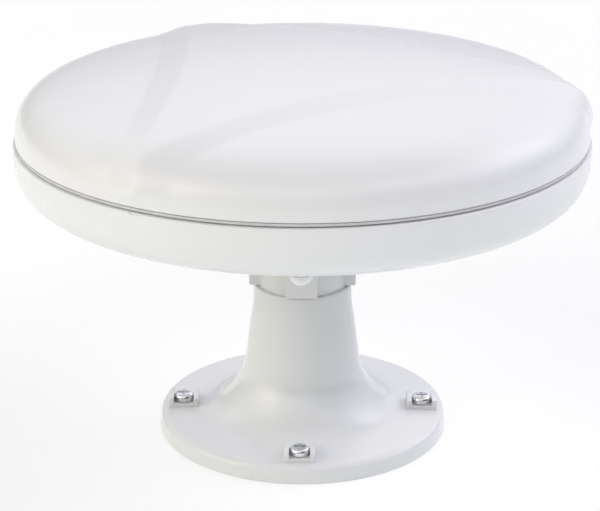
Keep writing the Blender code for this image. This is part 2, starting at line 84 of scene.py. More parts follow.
# Side curves: distance from the axis as c0 + c1 s^2 + c2 s^4, all in DOME_R
EDGE_TOP = (0.405, 0.130, -0.028)
EDGE_FOOT = (0.507, 0.105, 0.029)
RIDGE_ROUND = 0.016
FLANK_ROUND = 0.03
MESH_TURN = POINT_AZ + 30.0                      # start angle of the dome meshes

# Housing fittings
HOUSING_SCREWS = [centre(f"housing_screw_{k + 1}")[:2] for k in range(6)]
POST_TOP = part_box("ground_plane")[0][2] - 0.0003
VENT_AT = centre("vent_cap")[:2]
VENT_SEAT = SEAM_Z - 0.0412

# Locking ring
RING_R, RING_BORE, RING_TOP, RING_STEP = 0.0273, 0.0196, 0.1170, 0.1126
LUG_R, LUG_W, LUG_AZ = 0.0325, 0.0204, -1.0
LUG_BOTTOM, LUG_TOP, LUG_ROUND = 0.0938, 0.1131, 0.0007

# Pedestal
COLUMN_TOP, NECK_R, NECK_TOP, FLANGE_R = 0.09305, 0.0226, 0.1060, 0.0889
BORE_R = 0.0170
HEAD_H, HEAD_LIFT = 0.0047, 0.0003               # deck screw head and its rise off the seat
DECK_SCREWS = [centre(f"base_screw_{k + 1}")[:2] for k in range(4)]
SEAT_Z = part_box("base_screw_1")[1][2] - HEAD_H - HEAD_LIFT
CHEEK_Z = SEAT_Z + 0.0039                        # top of the blocks beside each screw


# ============================================================ node materials
def add_node(tree, kind, **props):
    node = tree.nodes.new("ShaderNode" + kind)
    for key, value in props.items():
        setattr(node, key, value)
    return node


NOISE_SPAN = (0.3, 0.7)                          # the range that noise mostly fills


class Net:
    """A short way to write node materials."""

    def __init__(self, name):
        self.mat = bpy.data.materials.new(name)
        self.mat.use_nodes = True
        self.tree = self.mat.node_tree
        self.tree.nodes.clear()
        self.out = self.tree.nodes.new("ShaderNodeOutputMaterial")
        self.x = 0

    def add(self, kind, **props):
        node = add_node(self.tree, kind, **props)
        self.x += 180
        node.location = (self.x, 0)
        return node

    def feed(self, socket, value):
        """Link a socket or set a value; None leaves the input alone."""
        if hasattr(value, "is_output"):
            self.tree.links.new(value, socket)
        elif value is not None:
            socket.default_value = (*value, 1) if socket.type == "RGBA" else value

    def fill(self, node, **values):
        """Feed inputs by name, with _ for a space."""
        for key, value in values.items():
            self.feed(node.inputs[key.replace("_", " ")], value)

    def math(self, operation, first, second, clamp=False):
        node = self.add("Math", operation=operation, use_clamp=clamp)
        self.feed(node.inputs[0], first)
        self.feed(node.inputs[1], second)
        return node.outputs[0]

    def noise(self, coords, scale, detail=2.0, rough=0.5, distort=0.0):
        node = self.add("TexNoise")
        self.fill(node, Vector=coords, Scale=scale, Detail=detail, Roughness=rough,
                  Distortion=distort)
        return node.outputs["Fac"]

    def voronoi(self, coords, scale):
        node = self.add("TexVoronoi", feature="F1")
        self.fill(node, Vector=coords, Scale=scale)
        return node.outputs["Distance"]

    def place(self, scale=(1, 1, 1)):
        """Object coordinates, stretched per axis."""
        source = self.add("TexCoord")
        node = self.add("Mapping")
        self.fill(node, Scale=scale, Vector=source.outputs["Object"])
        return node.outputs["Vector"]

    def mix(self, factor, low, high):
        node = self.add("Mix", data_type="RGBA")
        self.fill(node, Factor=factor)
        self.feed(node.inputs[6], low)
        self.feed(node.inputs[7], high)
        return node.outputs[2]

    def shades(self, factor, colour, low=1.0, high=1.0):
        """Mix between two brightnesses of one colour."""
        return self.mix(factor, tint(colour, by=low), tint(colour, by=high))

    def remap(self, value, span=NOISE_SPAN, to=(0.0, 1.0)):
        node = self.add("MapRange")
        self.fill(node, Value=value, From_Min=span[0], From_Max=span[1],
                  To_Min=to[0], To_Max=to[1])
        return node.outputs["Result"]

    def bump(self, height, depth, strength=1.0, normal=None):
        """Relief of the given depth in metres, over an earlier normal if there is one."""
        node = self.add("Bump")
        self.fill(node, Strength=strength, Distance=depth, Height=height, Normal=normal)
        return node.outputs["Normal"]

    def finish(self, **inputs):
        shader = self.add("BsdfPrincipled")
        self.fill(shader, **inputs)
        self.fill(self.out, Surface=shader.outputs[0])
        return self.mat


def tint(colour, by):
    return tuple(min(1.0, channel * by) for channel in colour)


def moulded(name, colour, rough, grain=0.00025, grain_depth=0.000004, wave=0.0,
            speck=0.15, wear=0.3, soft=0.0, dust=0.0, vary=0.025):
    """Injection-moulded plastic: faint clouding, fine grain, rubbed edges.

    grain, grain_depth and wave are in metres; vary is the spread of the roughness.
    """
    net = Net(name)
    coords = net.place()
    cloud = net.noise(coords, scale=14.0, detail=4.0, rough=0.55, distort=0.4)
    fine = net.noise(coords, scale=0.6 / grain, detail=3.0, rough=0.6)
    spots = net.voronoi(coords, scale=420.0)
    base = net.shades(net.remap(cloud), colour, low=0.994, high=1.005)
    base = net.mix(net.remap(spots, span=(0.02, 0.06), to=(speck, 0.0)), base,
                   tint(colour, by=0.90))
    geometry = net.add("NewGeometry")
    edge = net.remap(geometry.outputs["Pointiness"], span=(0.53, 0.62), to=(0.0, wear))
    scuff = net.math("MULTIPLY", edge, net.noise(coords, scale=160.0, detail=3.0, rough=0.7),
                     clamp=True)
    base = net.mix(scuff, base, tint(colour, by=1.05))
    if dust > 0:
        facing = net.add("SeparateXYZ")
        net.feed(facing.inputs[0], geometry.outputs["Normal"])
        upward = net.remap(facing.outputs["Z"], span=(0.6, 1.0), to=(0.0, dust))
        dusty = net.math("MULTIPLY", upward, net.noise(coords, scale=60.0, detail=5.0, rough=0.7))
        base = net.mix(dusty, base, tint(colour, by=0.96))
    roughness = net.math("ADD", net.remap(cloud, to=(rough - vary, rough + vary)),
                         net.remap(fine, to=(-0.8 * vary, 0.8 * vary)))
    swell = net.noise(coords, scale=38.0) if wave > 0 else None
    normal = None
    if grain_depth > 0:
        normal = net.bump(fine, depth=grain_depth)
    if wave > 0:
        normal = net.bump(swell, depth=wave, normal=normal)
    extra = {}
    if soft > 0:
        extra = {"Subsurface_Weight": soft, "Subsurface_Scale": 0.004,
                 "Subsurface_Radius": (1.0, 0.8, 0.6)}
    return net.finish(Base_Color=base, Roughness=roughness, Normal=normal,
                      Specular_IOR_Level=0.5, **extra)


def metal(name, colour, rough, brush=(1, 1, 1), scale=900.0, depth=0.000003):
    """Metal with fine machining lines, dulled patches and brighter edges."""
    net = Net(name)
    brushed = net.place(brush)
    plain = net.place()
    lines = net.noise(brushed, scale=scale, detail=4.0, rough=0.65)
    patch = net.noise(plain, scale=120.0, detail=4.0, rough=0.6, distort=0.6)
    geometry = net.add("NewGeometry")
    edge = net.remap(geometry.outputs["Pointiness"], span=(0.52, 0.60), to=(0.0, 0.25))
    base = net.shades(net.remap(patch, span=(0.35, 0.7)), colour, low=0.93, high=1.04)
    base = net.mix(edge, base, tint(colour, by=1.12))
    roughness = net.math("ADD", net.remap(lines, to=(rough * 0.8, rough * 1.25)),
                         net.remap(patch, span=(0.35, 0.7), to=(-0.02, 0.05)))
    return net.finish(Base_Color=base, Roughness=roughness, Metallic=1.0,
                      Normal=net.bump(lines, depth=depth))


def rubber(name, colour):
    """Matt rubber with a pale bloom."""
    net = Net(name)
    coords = net.place()
    fine = net.noise(coords, scale=1800.0, detail=3.0, rough=0.7)
    bloom = net.noise(coords, scale=90.0, detail=4.0, rough=0.6)
    base = net.shades(net.remap(bloom, span=(0.4, 0.75), to=(0.0, 0.6)), colour, high=1.25)
    return net.finish(Base_Color=base, Roughness=net.remap(fine, to=(0.64, 0.80)),
                      Normal=net.bump(fine, depth=0.00001), Specular_IOR_Level=0.35)


def milky(name, colour):
    """Translucent moulded plastic."""
    net = Net(name)
    coords = net.place()
    cloud = net.noise(coords, scale=260.0, detail=4.0, rough=0.6)
    fine = net.noise(coords, scale=2400.0)
    base = net.shades(net.remap(cloud), colour, low=0.95)
    return net.finish(Base_Color=base, Roughness=net.remap(fine, to=(0.09, 0.14)), IOR=1.5,
                      Transmission_Weight=net.remap(cloud, to=(0.04, 0.10)),
                      Subsurface_Weight=0.3, Subsurface_Scale=0.002,
                      Subsurface_Radius=(1.0, 1.0, 1.0),
                      Normal=net.bump(cloud, depth=0.00003))


def board(name, colour, copper):
    """Solder mask over tracks and pads."""
    net = Net(name)
    coords = net.place()
    bricks = net.add("TexBrick")
    net.fill(bricks, Vector=coords, Scale=170.0, Mortar_Size=0.06)
    wide = net.noise(coords, scale=70.0, detail=1.0, rough=0.4)
    tracks = net.math("MULTIPLY", bricks.outputs["Fac"], net.remap(wide, span=(0.5, 0.55)))
    pads = net.remap(net.voronoi(coords, scale=330.0), span=(0.10, 0.14), to=(1.0, 0.0))
    pads = net.math("MULTIPLY", pads,
                    net.remap(net.noise(coords, scale=45.0), span=(0.52, 0.56)))
    base = net.shades(tracks, colour, high=1.7)
    base = net.mix(pads, base, copper)
    return net.finish(Base_Color=base, Roughness=net.remap(wide, to=(0.3, 0.42)),
                      Metallic=net.math("MULTIPLY", pads, 0.9),
                      Normal=net.bump(net.math("ADD", tracks, pads), depth=0.00003,
                                      strength=0.6))


def ceramic(name, colour):
    """Gritty, lightly spotted ceramic."""
    net = Net(name)
    coords = net.place()
    grit = net.noise(coords, scale=1300.0, detail=4.0, rough=0.7)
    spots = net.voronoi(coords, scale=900.0)
    base = net.shades(net.remap(grit), colour, low=0.93, high=1.05)
    base = net.mix(net.remap(spots, span=(0.04, 0.09), to=(0.25, 0.0)), base,
                   tint(colour, by=0.6))
    return net.finish(Base_Color=base, Roughness=net.remap(grit, to=(0.5, 0.65)),
                      Normal=net.bump(grit, depth=0.000012))


def jacket(name, colour):
    """Cable jacket with paler smears."""
    net = Net(name)
    coords = net.place()
    fine = net.noise(coords, scale=1500.0, detail=3.0, rough=0.6)
    smear = net.noise(coords, scale=120.0, detail=3.0, rough=0.6)
    base = net.shades(net.remap(smear, span=(0.4, 0.7), to=(0.0, 0.7)), colour, high=1.5)
    return net.finish(Base_Color=base, Roughness=net.remap(fine, to=(0.42, 0.58)),
                      Normal=net.bump(fine, depth=0.000008))


# slot name: (material function, its settings)
FINISHES = {
    "white_shell": (moulded, dict(colour=(0.835, 0.835, 0.845), rough=0.27, grain=0.0003,
                                  grain_depth=0.0, wave=0.000001, vary=0.004, speck=0.05,
                                  wear=0.04)),
    "grey_casting": (moulded, dict(colour=(0.72, 0.725, 0.735), rough=0.17, grain=0.00035,
                                   grain_depth=0.0000012, wave=0.000002, wear=0.5, dust=0.08)),
    "grey_rubber": (rubber, dict(colour=(0.60, 0.60, 0.61))),
    "black_rubber": (rubber, dict(colour=(0.035, 0.035, 0.04))),
    "bright_steel": (metal, dict(colour=(0.72, 0.72, 0.73), rough=0.22, scale=1500.0,
                                 depth=0.000001)),
    "clear_plastic": (milky, dict(colour=(0.92, 0.93, 0.95))),
    "white_membrane": (ceramic, dict(colour=(0.86, 0.86, 0.84))),
    "pale_nylon": (moulded, dict(colour=(0.80, 0.79, 0.73), rough=0.45, soft=0.1)),
    "sheet_alloy": (metal, dict(colour=(0.78, 0.79, 0.80), rough=0.30, brush=(0.04, 1, 1))),
    "board_green": (board, dict(colour=(0.018, 0.16, 0.06), copper=(0.80, 0.60, 0.28))),
    "ceramic_buff": (ceramic, dict(colour=(0.62, 0.56, 0.44))),
    "silver_film": (metal, dict(colour=(0.84, 0.84, 0.82), rough=0.28, brush=(1, 0.06, 1))),
    "black_jacket": (jacket, dict(colour=(0.03, 0.03, 0.032))),
    "black_plastic": (moulded, dict(colour=(0.03, 0.03, 0.033), rough=0.45, speck=0.0)),
    "brass_plain": (metal, dict(colour=(0.82, 0.62, 0.30), rough=0.24)),
}
MATS = {name: maker(name, **settings) for name, (maker, settings) in FINISHES.items()}


def paint_cad():
    slots = {part["node"]: part["material_slot"] for part in frame["record"]["subparts"]}
    for name, ob in frame["nodes"].items():
        ob.data.materials.clear()
        ob.data.materials.append(MATS[slots[name]])


# ============================================================ mesh tools
def mesh_object(name, mesh):
    ob = bpy.data.objects.new(name, mesh)
    bpy.context.scene.collection.objects.link(ob)
    return ob


def raw(name, verts, faces):
    mesh = bpy.data.meshes.new(name)
    mesh.from_pydata([tuple(map(float, vert)) for vert in verts], [], faces)
    return mesh_object(name, mesh)


def dress(ob, body, slot, sharp, node):
    """Give an object its material, shading and place in the frame."""
    mesh = ob.data
    mesh.materials.clear()
    mesh.materials.append(MATS[slot])
    for face in mesh.polygons:
        face.material_index = 0
    mesh.shade_smooth()
    mesh.set_sharp_from_angle(angle=math.radians(sharp))
    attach(ob, body)
    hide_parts(node)


def make(name, grid_mesh, body, slot, sharp, node):
    ob = raw(name, *grid_mesh)
    ob.data.validate()
    dress(ob, body, slot, sharp, node)


def grid(profile, count, turn=0.0, ring=False, at=(0.0, 0.0), radius_at=None):
    """Revolved (radius, z) profile as vertices and faces; it runs down the outer side.

    ring closes the profile on itself. radius_at(radius, z, angles) may reshape each row.
    """
    angles = np.arange(count) * math.tau / count + math.radians(turn)
    cosines, sines = np.cos(angles), np.sin(angles)
    verts, rows = [], []
    for radius, z in profile:
        if abs(radius) < 1e-9:
            rows.append([len(verts)])
            verts.append((0.0, 0.0, z))
            continue
        radii = np.full(count, radius) if radius_at is None else radius_at(radius, z, angles)
        rows.append(list(range(len(verts), len(verts) + count)))
        verts += list(zip(radii * cosines, radii * sines, np.full(count, z)))
    faces = []
    pairs = list(zip(rows, rows[1:]))
    if ring:
        pairs.append((rows[-1], rows[0]))
    for upper, lower in pairs:
        for j in range(count):
            k = (j + 1) % count
            if len(upper) == 1:
                faces.append((upper[0], lower[j], lower[k]))
            elif len(lower) == 1:
                faces.append((upper[j], lower[0], upper[k]))
            else:
                faces.append((upper[j], lower[j], lower[k], upper[k]))
    verts = np.array(verts, float)
    verts[:, 0] += at[0]
    verts[:, 1] += at[1]
    return verts, faces


def solid(profile, count, at, name="tool"):
    return raw(name, *grid(profile, count, at=at))


def post(radius, top, bottom):
    """Profile of a plain cylinder."""
    return [(0, top), (radius, top), (radius, bottom), (0, bottom)]


def even(points, step):
    """The same path with points about one step apart, corners kept."""
    out = [points[0]]
    for start, end in zip(points, points[1:]):
        dx, dy = end[0] - start[0], end[1] - start[1]
        count = max(1, int(round(math.hypot(dx, dy) / step)))
        out += [(start[0] + dx * i / count, start[1] + dy * i / count)
                for i in range(1, count + 1)]
    return out


def along(points, step):
    """Resample a dense smooth curve by length."""
    path = np.array(points, float)
    length = np.concatenate([[0], np.cumsum(np.hypot(*np.diff(path, axis=0).T))])
    count = max(2, int(round(length[-1] / step)))
    stops = np.linspace(0, length[-1], count + 1)
    return list(zip(np.interp(stops, length, path[:, 0]), np.interp(stops, length, path[:, 1])))


def fillet(corners, steps=5, closed=False):
    """Path through (radius, z, rounding) corners, each rounded by an arc."""
    out = []
    points = [np.array(corner[:2]) for corner in corners]
    last = len(points) - 1
    for i, (point, corner) in enumerate(zip(points, corners)):
        rounding = corner[2]
        if rounding <= 0 or (not closed and i in (0, last)):
            out.append(tuple(corner[:2]))
            continue
        back = points[i - 1] - point
        ahead = points[(i + 1) % len(points)] - point
        back_len, ahead_len = np.hypot(*back), np.hypot(*ahead)
        back, ahead = back / back_len, ahead / ahead_len
        angle = math.acos(max(-1, min(1, float(back @ ahead))))
        if angle > math.pi - 1e-3:
            out.append(tuple(corner[:2]))
            continue
        trim = min(rounding / math.tan(angle / 2), 0.49 * back_len, 0.49 * ahead_len)
        radius = trim * math.tan(angle / 2)
        middle = point + ((back + ahead) / np.linalg.norm(back + ahead)
                          * (radius / math.sin(angle / 2)))
        start = point + back * trim - middle
        end = point + ahead * trim - middle
        sweep = math.atan2(start[0] * end[1] - start[1] * end[0], float(start @ end))
        for k in range(steps + 1):
            turn = sweep * k / steps
            out.append((middle[0] + start[0] * math.cos(turn) - start[1] * math.sin(turn),
                        middle[1] + start[0] * math.sin(turn) + start[1] * math.cos(turn)))
    return out


def spline(stations, samples):
    """Catmull-Rom curve through the stations."""
    knots = [np.array(station, float) for station in stations]
    knots = [2 * knots[0] - knots[1]] + knots + [2 * knots[-1] - knots[-2]]
    out = []
    for before, start, end, after in zip(knots, knots[1:], knots[2:], knots[3:]):
        for t in np.linspace(0, 1, samples, endpoint=False):
            point = 0.5 * ((2 * start) + (-before + end) * t
                           + (2 * before - 5 * start + 4 * end - after) * t * t
                           + (-before + 3 * start - 3 * end + after) * t ** 3)
            out.append((float(point[0]), float(point[1])))
    out.append(tuple(knots[-2]))
    return out


def offset(points, by):
    """Shift a path sideways, to the right of its direction."""
    path = np.array(points, float)
    slope = np.gradient(path, axis=0)
    normal = np.stack([slope[:, 1], -slope[:, 0]], axis=1)
    normal /= np.maximum(np.hypot(normal[:, 0], normal[:, 1])[:, None], 1e-12)
    return path + normal * by


def soft_ramp(value, rounding):
    """0..1 ramp with rounded ends of half width rounding."""
    def bend(x):
        curve = (x + rounding) ** 2 / (4 * rounding)
        return np.where(x < -rounding, 0.0, np.where(x > rounding, x, curve))
    return np.clip(bend(value) - bend(value - 1), 0, 1)


def boolean(ob, tools, operation):
    """Apply the tools one after another, then remove them."""
    for tool in tools:
        modifier = ob.modifiers.new("boolean", "BOOLEAN")
        modifier.operation, modifier.solver, modifier.object = operation, "MANIFOLD", tool
    bpy.context.view_layer.update()
    deps = bpy.context.evaluated_depsgraph_get()
    mesh = bpy.data.meshes.new_from_object(ob.evaluated_get(deps))
    ob.modifiers.clear()
    old = ob.data
    ob.data = mesh
    mesh.name = ob.name
    bpy.data.meshes.remove(old)
    for tool in tools:
        bpy.data.objects.remove(tool, do_unlink=True)


def tool_from(bm, at, turn):
    """Turn a bmesh about Z by degrees, move it and make it an object."""
    angle = math.radians(turn)
    for vert in bm.verts:
        x, y = vert.co.x, vert.co.y
        vert.co.x = x * math.cos(angle) - y * math.sin(angle) + at[0]
        vert.co.y = x * math.sin(angle) + y * math.cos(angle) + at[1]
        vert.co.z += at[2]
    mesh = bpy.data.meshes.new("tool")
    bm.to_mesh(mesh)
    bm.free()
    return mesh_object("tool", mesh)


def brick(size, at, bevel=0.0, turn=0.0):
    bm = bmesh.new()
    bmesh.ops.create_cube(bm, size=1.0)
    bmesh.ops.scale(bm, vec=size, verts=bm.verts)
    if bevel > 0:
        bmesh.ops.bevel(bm, geom=bm.edges[:], offset=bevel, segments=3,
                        profile=0.5, affect="EDGES")
    return tool_from(bm, at, turn)


# ============================================================ dome curves
def crown_z(radius):
    """Height of the crown above the seam."""
    share = np.clip(radius / (CROWN_RIM * DOME_R), 0, 1)
    return DOME_R * (CROWN_H * (1 - share ** CROWN_IN_POWER) ** (1 / CROWN_OUT_POWER)
                     + CROWN_BOW * (1 - share * share))


def belly_z(radius):
    """Height of the belly from the seam, negative."""
    share = np.clip(radius / (BELLY_RIM * DOME_R), 0, 1)
    return -DOME_R * BELLY_H * (1 - share ** BELLY_IN_POWER) ** (1 / BELLY_OUT_POWER)


def dense(height_at, rim, start, limit):
    """Closely spaced curve from radius start outwards, ending at limit from the seam."""
    rim_r = rim * DOME_R
    radii = rim_r - (rim_r - start) * np.linspace(1, 0, CURVE_SAMPLES) ** 3
    heights = height_at(radii)
    keep = np.abs(heights) > limit
    radii, heights = radii[keep], heights[keep]
    end = (float(radii[-1]), math.copysign(limit, heights[0]))
    return list(zip(radii, heights)) + [end]


def seam_edge(rim_r, side):
    """Rounded edge towards the seam; side is 1 above it and -1 below."""
    return [(rim_r - EDGE_ROUND * (1 - math.cos(t)),
             side * (HALF_GAP + EDGE_ROUND * (1 - math.sin(t))))
            for t in np.linspace(0, math.pi / 2, 5)[1:]]


def field(x, y):
    """1 on the raised field, 0 outside its hollow flanks."""
    sides = []
    for azimuth in SIDE_AZ:
        angle = math.radians(azimuth)
        out = (x * math.sin(angle) - y * math.cos(angle)) / DOME_R
        across = (x * math.cos(angle) + y * math.sin(angle)) / DOME_R
        top, foot = (c0 + c1 * across ** 2 + c2 * across ** 4
                     for c0, c1, c2 in (EDGE_TOP, EDGE_FOOT))
        sides.append((out - top) / (foot - top))
    sides = np.sort(np.array(sides), axis=0)
    highest, middle = sides[-1], sides[-2]
    # round the ridge where two flanks meet
    blend = np.clip((middle - highest) / RIDGE_ROUND + 1, 0, 1)
    return 1.0 - soft_ramp(highest + 0.25 * RIDGE_ROUND * blend * blend, FLANK_ROUND)


def fade(z):
    """Smooth step that keeps the relief off the seam."""
    t = np.clip((z / DOME_R - 0.018) / 0.042, 0, 1)
    return t * t * (3 - 2 * t)


# ============================================================ head
def upper_shell():
    count = 540
    outer = along(dense(crown_z, CROWN_RIM, 0.0, HALF_GAP + EDGE_ROUND),
                  0.0013)
    inside = offset(dense(crown_z, CROWN_RIM, 0.0, HALF_GAP), WALL)
    inner = along([point for point in inside if point[1] > 0.004], 0.006)
    inner[0] = (0.0, inner[0][1])
    lip_r, chamfer = CROWN_RIM * DOME_R - WALL, 0.0004
    lip = [(lip_r + chamfer, HALF_GAP), (lip_r, HALF_GAP + chamfer)]
    profile = outer + seam_edge(outer[-1][0], 1) + lip + inner[::-1]
    profile = [(max(radius, 0.0), SEAM_Z + z) for radius, z in profile]
    verts, faces = grid(profile, count, MESH_TURN)

    # Lift the field on both faces of the wall, outwards and up along the profile's normal
    slopes = np.gradient(np.array(profile), axis=0)
    normals = np.abs(slopes[:, ::-1])
    normals /= np.maximum(np.hypot(normals[:, 0], normals[:, 1])[:, None], 1e-12)
    normals[0] = normals[-1] = (0, 1)
    row_sizes = [1 if radius < 1e-9 else count for radius, _ in profile]
    out, up = np.repeat(normals, row_sizes, axis=0).T
    x, y, z = verts.T
    radius = np.maximum(np.hypot(x, y), 1e-9)
    lift = ((RELIEF_H + TIP_H * np.clip(radius / DOME_R, 0, 1) ** 5) * field(x, y)
            * fade(z - SEAM_Z))
    verts = verts + np.stack([x / radius * out * lift, y / radius * out * lift, up * lift],
                             axis=1)
    make("radome_shell", (verts, faces), "head", "white_shell", 60.0, "upper_radome")


def housing_body():
    """Closed profile: up the belly, through the hub, back inside to the seam tongue."""
    outer = along(dense(belly_z, BELLY_RIM, 0.062, HALF_GAP + EDGE_ROUND), 0.0016)
    inside = offset(dense(belly_z, BELLY_RIM, 0.052, HALF_GAP), -WALL)
    inner = along([point for point in inside if point[1] < -0.006 and point[0] > 0.052], 0.006)
    start_r, start_z = outer[0]
    hub = fillet([                               # radius, z, rounding
        (start_r + 0.001, SEAM_Z + start_z, 0),
        (0.0585, SEAM_Z + start_z, 0.012), (0.0470, 0.1432, 0.012),
        (0.0340, 0.1290, 0.010), (0.0262, 0.1215, 0.002), (0.0190, 0.1215, 0.0006),
        (0.0190, 0.1112, 0), (0.0224, 0.1112, 0.0004), (0.0224, 0.1076, 0.0004),
        (0.0150, 0.1076, 0.0004), (0.0150, 0.1220, 0.001), (0.0084, 0.1220, 0.0003),
        (0.0084, 0.1260, 0.0003), (0.0200, 0.1260, 0.003), (0.0280, 0.1315, 0.006),
        (0.0410, 0.1455, 0.006), (0.0520, SEAM_Z + inner[0][1], 0)], 6)
    tongue = [                                   # radius, z from the seam
        (0.1622, -0.006), (0.1622, 0.0040), (0.1626, 0.0045), (0.1652, 0.0045),
        (0.1656, 0.0040), (0.1656, -HALF_GAP)]
    profile = [(radius, SEAM_Z + z)
               for radius, z in (outer + seam_edge(outer[-1][0], -1))[::-1]]
    profile += even(hub[1:-1], 0.0022)
    profile += [(radius, SEAM_Z + z) for radius, z in inner + tongue]
    return raw("dome_base_shell", *grid(profile, 360, MESH_TURN, ring=True))


def screw_boss(at):
    """Boss whose foot follows the belly, half a wall deep."""
    verts, faces = grid(post(0.0055, SEAM_Z - 0.0026, SEAM_Z - 0.02), 32, at=at)
    low = verts[:, 2] < SEAM_Z - 0.01
    verts[low, 2] = SEAM_Z + belly_z(np.hypot(verts[low, 0], verts[low, 1])) + 0.5 * WALL
    return raw("tool", verts, faces)


def lower_shell():
    house = housing_body()
    adds, cuts = [], []
    for at in HOUSING_SCREWS:
        adds.append(screw_boss(at))
        # wide hole from below, narrow hole through
        cuts.append(solid(post(0.0038, SEAM_Z - 0.020, SEAM_Z - 0.050), 32, at))
        cuts.append(solid(post(0.0024, SEAM_Z, SEAM_Z - 0.021), 24, at))
    # posts up to the ground plane
    for azimuth in SIDE_AZ:
        spot = polar(0.120, azimuth)
        at = (spot.x, spot.y)
        adds.append(solid([(0, POST_TOP), (0.0041, POST_TOP), (0.0045, POST_TOP - 0.0004),
                           (0.0055, SEAM_Z - 0.0385), (0, SEAM_Z - 0.0385)], 24, at))
        cuts.append(solid(post(0.0018, SEAM_Z, SEAM_Z - 0.018), 16, at))
    # seat and hole of the breather
    adds.append(solid([(0, SEAM_Z - 0.0375), (0.0098, SEAM_Z - 0.0375),
                       (0.0090, VENT_SEAT + 0.0006), (0.0084, VENT_SEAT), (0, VENT_SEAT)],
                      48, VENT_AT))
    cuts.append(solid(post(0.0043, SEAM_Z - 0.030, SEAM_Z - 0.050), 32, VENT_AT))
    # notch in the rim below a point of the field
    cuts.append(brick((0.0074, 0.0052, 0.0019), polar(0.1720, POINT_AZ, SEAM_Z - HALF_GAP),
                      bevel=0.0004, turn=POINT_AZ))
    boolean(house, adds, "UNION")
    boolean(house, cuts, "DIFFERENCE")
    dress(house, "head", "white_shell", 35.0, "lower_housing")


def rim_gasket():
    section = fillet([                           # radius, z, rounding
        (0.1660, SEAM_Z + 0.0010, 0.0002), (0.1690, SEAM_Z + 0.0010, 0.0003),
        (0.1690, SEAM_Z - 0.0005, 0.0003), (0.1674, SEAM_Z - 0.0005, 0.0002),
        (0.1672, SEAM_Z - 0.0010, 0.0001), (0.1660, SEAM_Z - 0.0010, 0.0002)],
        3, closed=True)
    make("rim_seal_bead", grid(section, 360, MESH_TURN, ring=True), "head", "grey_rubber",
         50.0, "rim_gasket")


def breather():
    section = fillet([                           # radius, z, rounding
        (0, VENT_SEAT + 0.0060, 0), (0.0035, VENT_SEAT + 0.0060, 0.0004),
        (0.0039, VENT_SEAT + 0.0050, 0.0004), (0.0039, VENT_SEAT - 0.0011, 0.0002),
        (0.0066, VENT_SEAT - 0.0011, 0.0003), (0.0065, VENT_SEAT - 0.0030, 0.0012),
        (0.0054, VENT_SEAT - 0.0052, 0.0020), (0.0034, VENT_SEAT - 0.0072, 0.0022),
        (0, VENT_SEAT - 0.0081, 0)], 6)
    make("breather_cap", grid(even(section, 0.0006), 64, at=VENT_AT), "head",
         "clear_plastic", 50.0, "vent_cap")


# ============================================================ locking ring
def ring_radius(radius, z, angles):
    """Plan radius of a row: four flat-faced lugs with rounded top and bottom edges."""
    if radius < 0.0250:
        return np.full(len(angles), radius)
    above = np.clip((z - LUG_BOTTOM) / LUG_ROUND, 0, 1)
    below = np.clip((LUG_TOP - z) / LUG_ROUND, 0, 1)
    grow = math.sqrt(max(0.0, 1 - (1 - min(above, below)) ** 2))
    azimuth = np.degrees(angles) + 90.0
    local = np.radians((azimuth - LUG_AZ + 45.0) % 90.0 - 45.0)
    face = LUG_R * (1 + 0.92 * (1 / np.cos(local) - 1))
    half = math.asin(0.5 * LUG_W / LUG_R)
    side = soft_ramp((half - np.abs(local)) / 0.065 + 0.5, 0.2)
    return RING_R + (face - RING_R) * side * grow - (RING_R - radius)


def locking_ring():
    # rows crowd together where the lug edges round off
    shares = (0, 0.04, 0.15, 0.35, 0.6, 1)
    levels = [LUG_BOTTOM + LUG_ROUND * share for share in shares]
    levels += list(np.linspace(0.0946, 0.1123, 12))
    levels += [LUG_TOP - LUG_ROUND * share for share in shares]
    side = [(RING_R, z) for z in sorted(levels, reverse=True)]
    # radius, z, rounding
    top = fillet([(RING_BORE, RING_TOP, 0), (RING_R, RING_TOP, 0.0008), (RING_R, 0.1132, 0)], 4)
    bottom = fillet([(RING_R, 0.0937, 0), (RING_R, 0.0931, 0.0002), (0.0230, 0.0931, 0.0006),
                     (0.0230, RING_STEP, 0.0004), (RING_BORE, RING_STEP, 0)], 4)
    make("lugged_ring", grid(top + side + bottom, 720, ring=True, radius_at=ring_radius),
         "ring", "grey_casting", 45.0, "locking_ring")


# ============================================================ pedestal
COLUMN_STATIONS = [                              # radius, z
    (0.0299, 0.0900), (0.0304, 0.0802), (0.0327, 0.0642), (0.0354, 0.0440),
    (0.0375, 0.0350), (0.0405, 0.0292), (0.0440, 0.0240), (0.0480, 0.0190),
    (0.0530, 0.0145), (0.0590, 0.0119), (0.0650, 0.0112), (0.0740, 0.0109),
    (0.0820, 0.0106)]


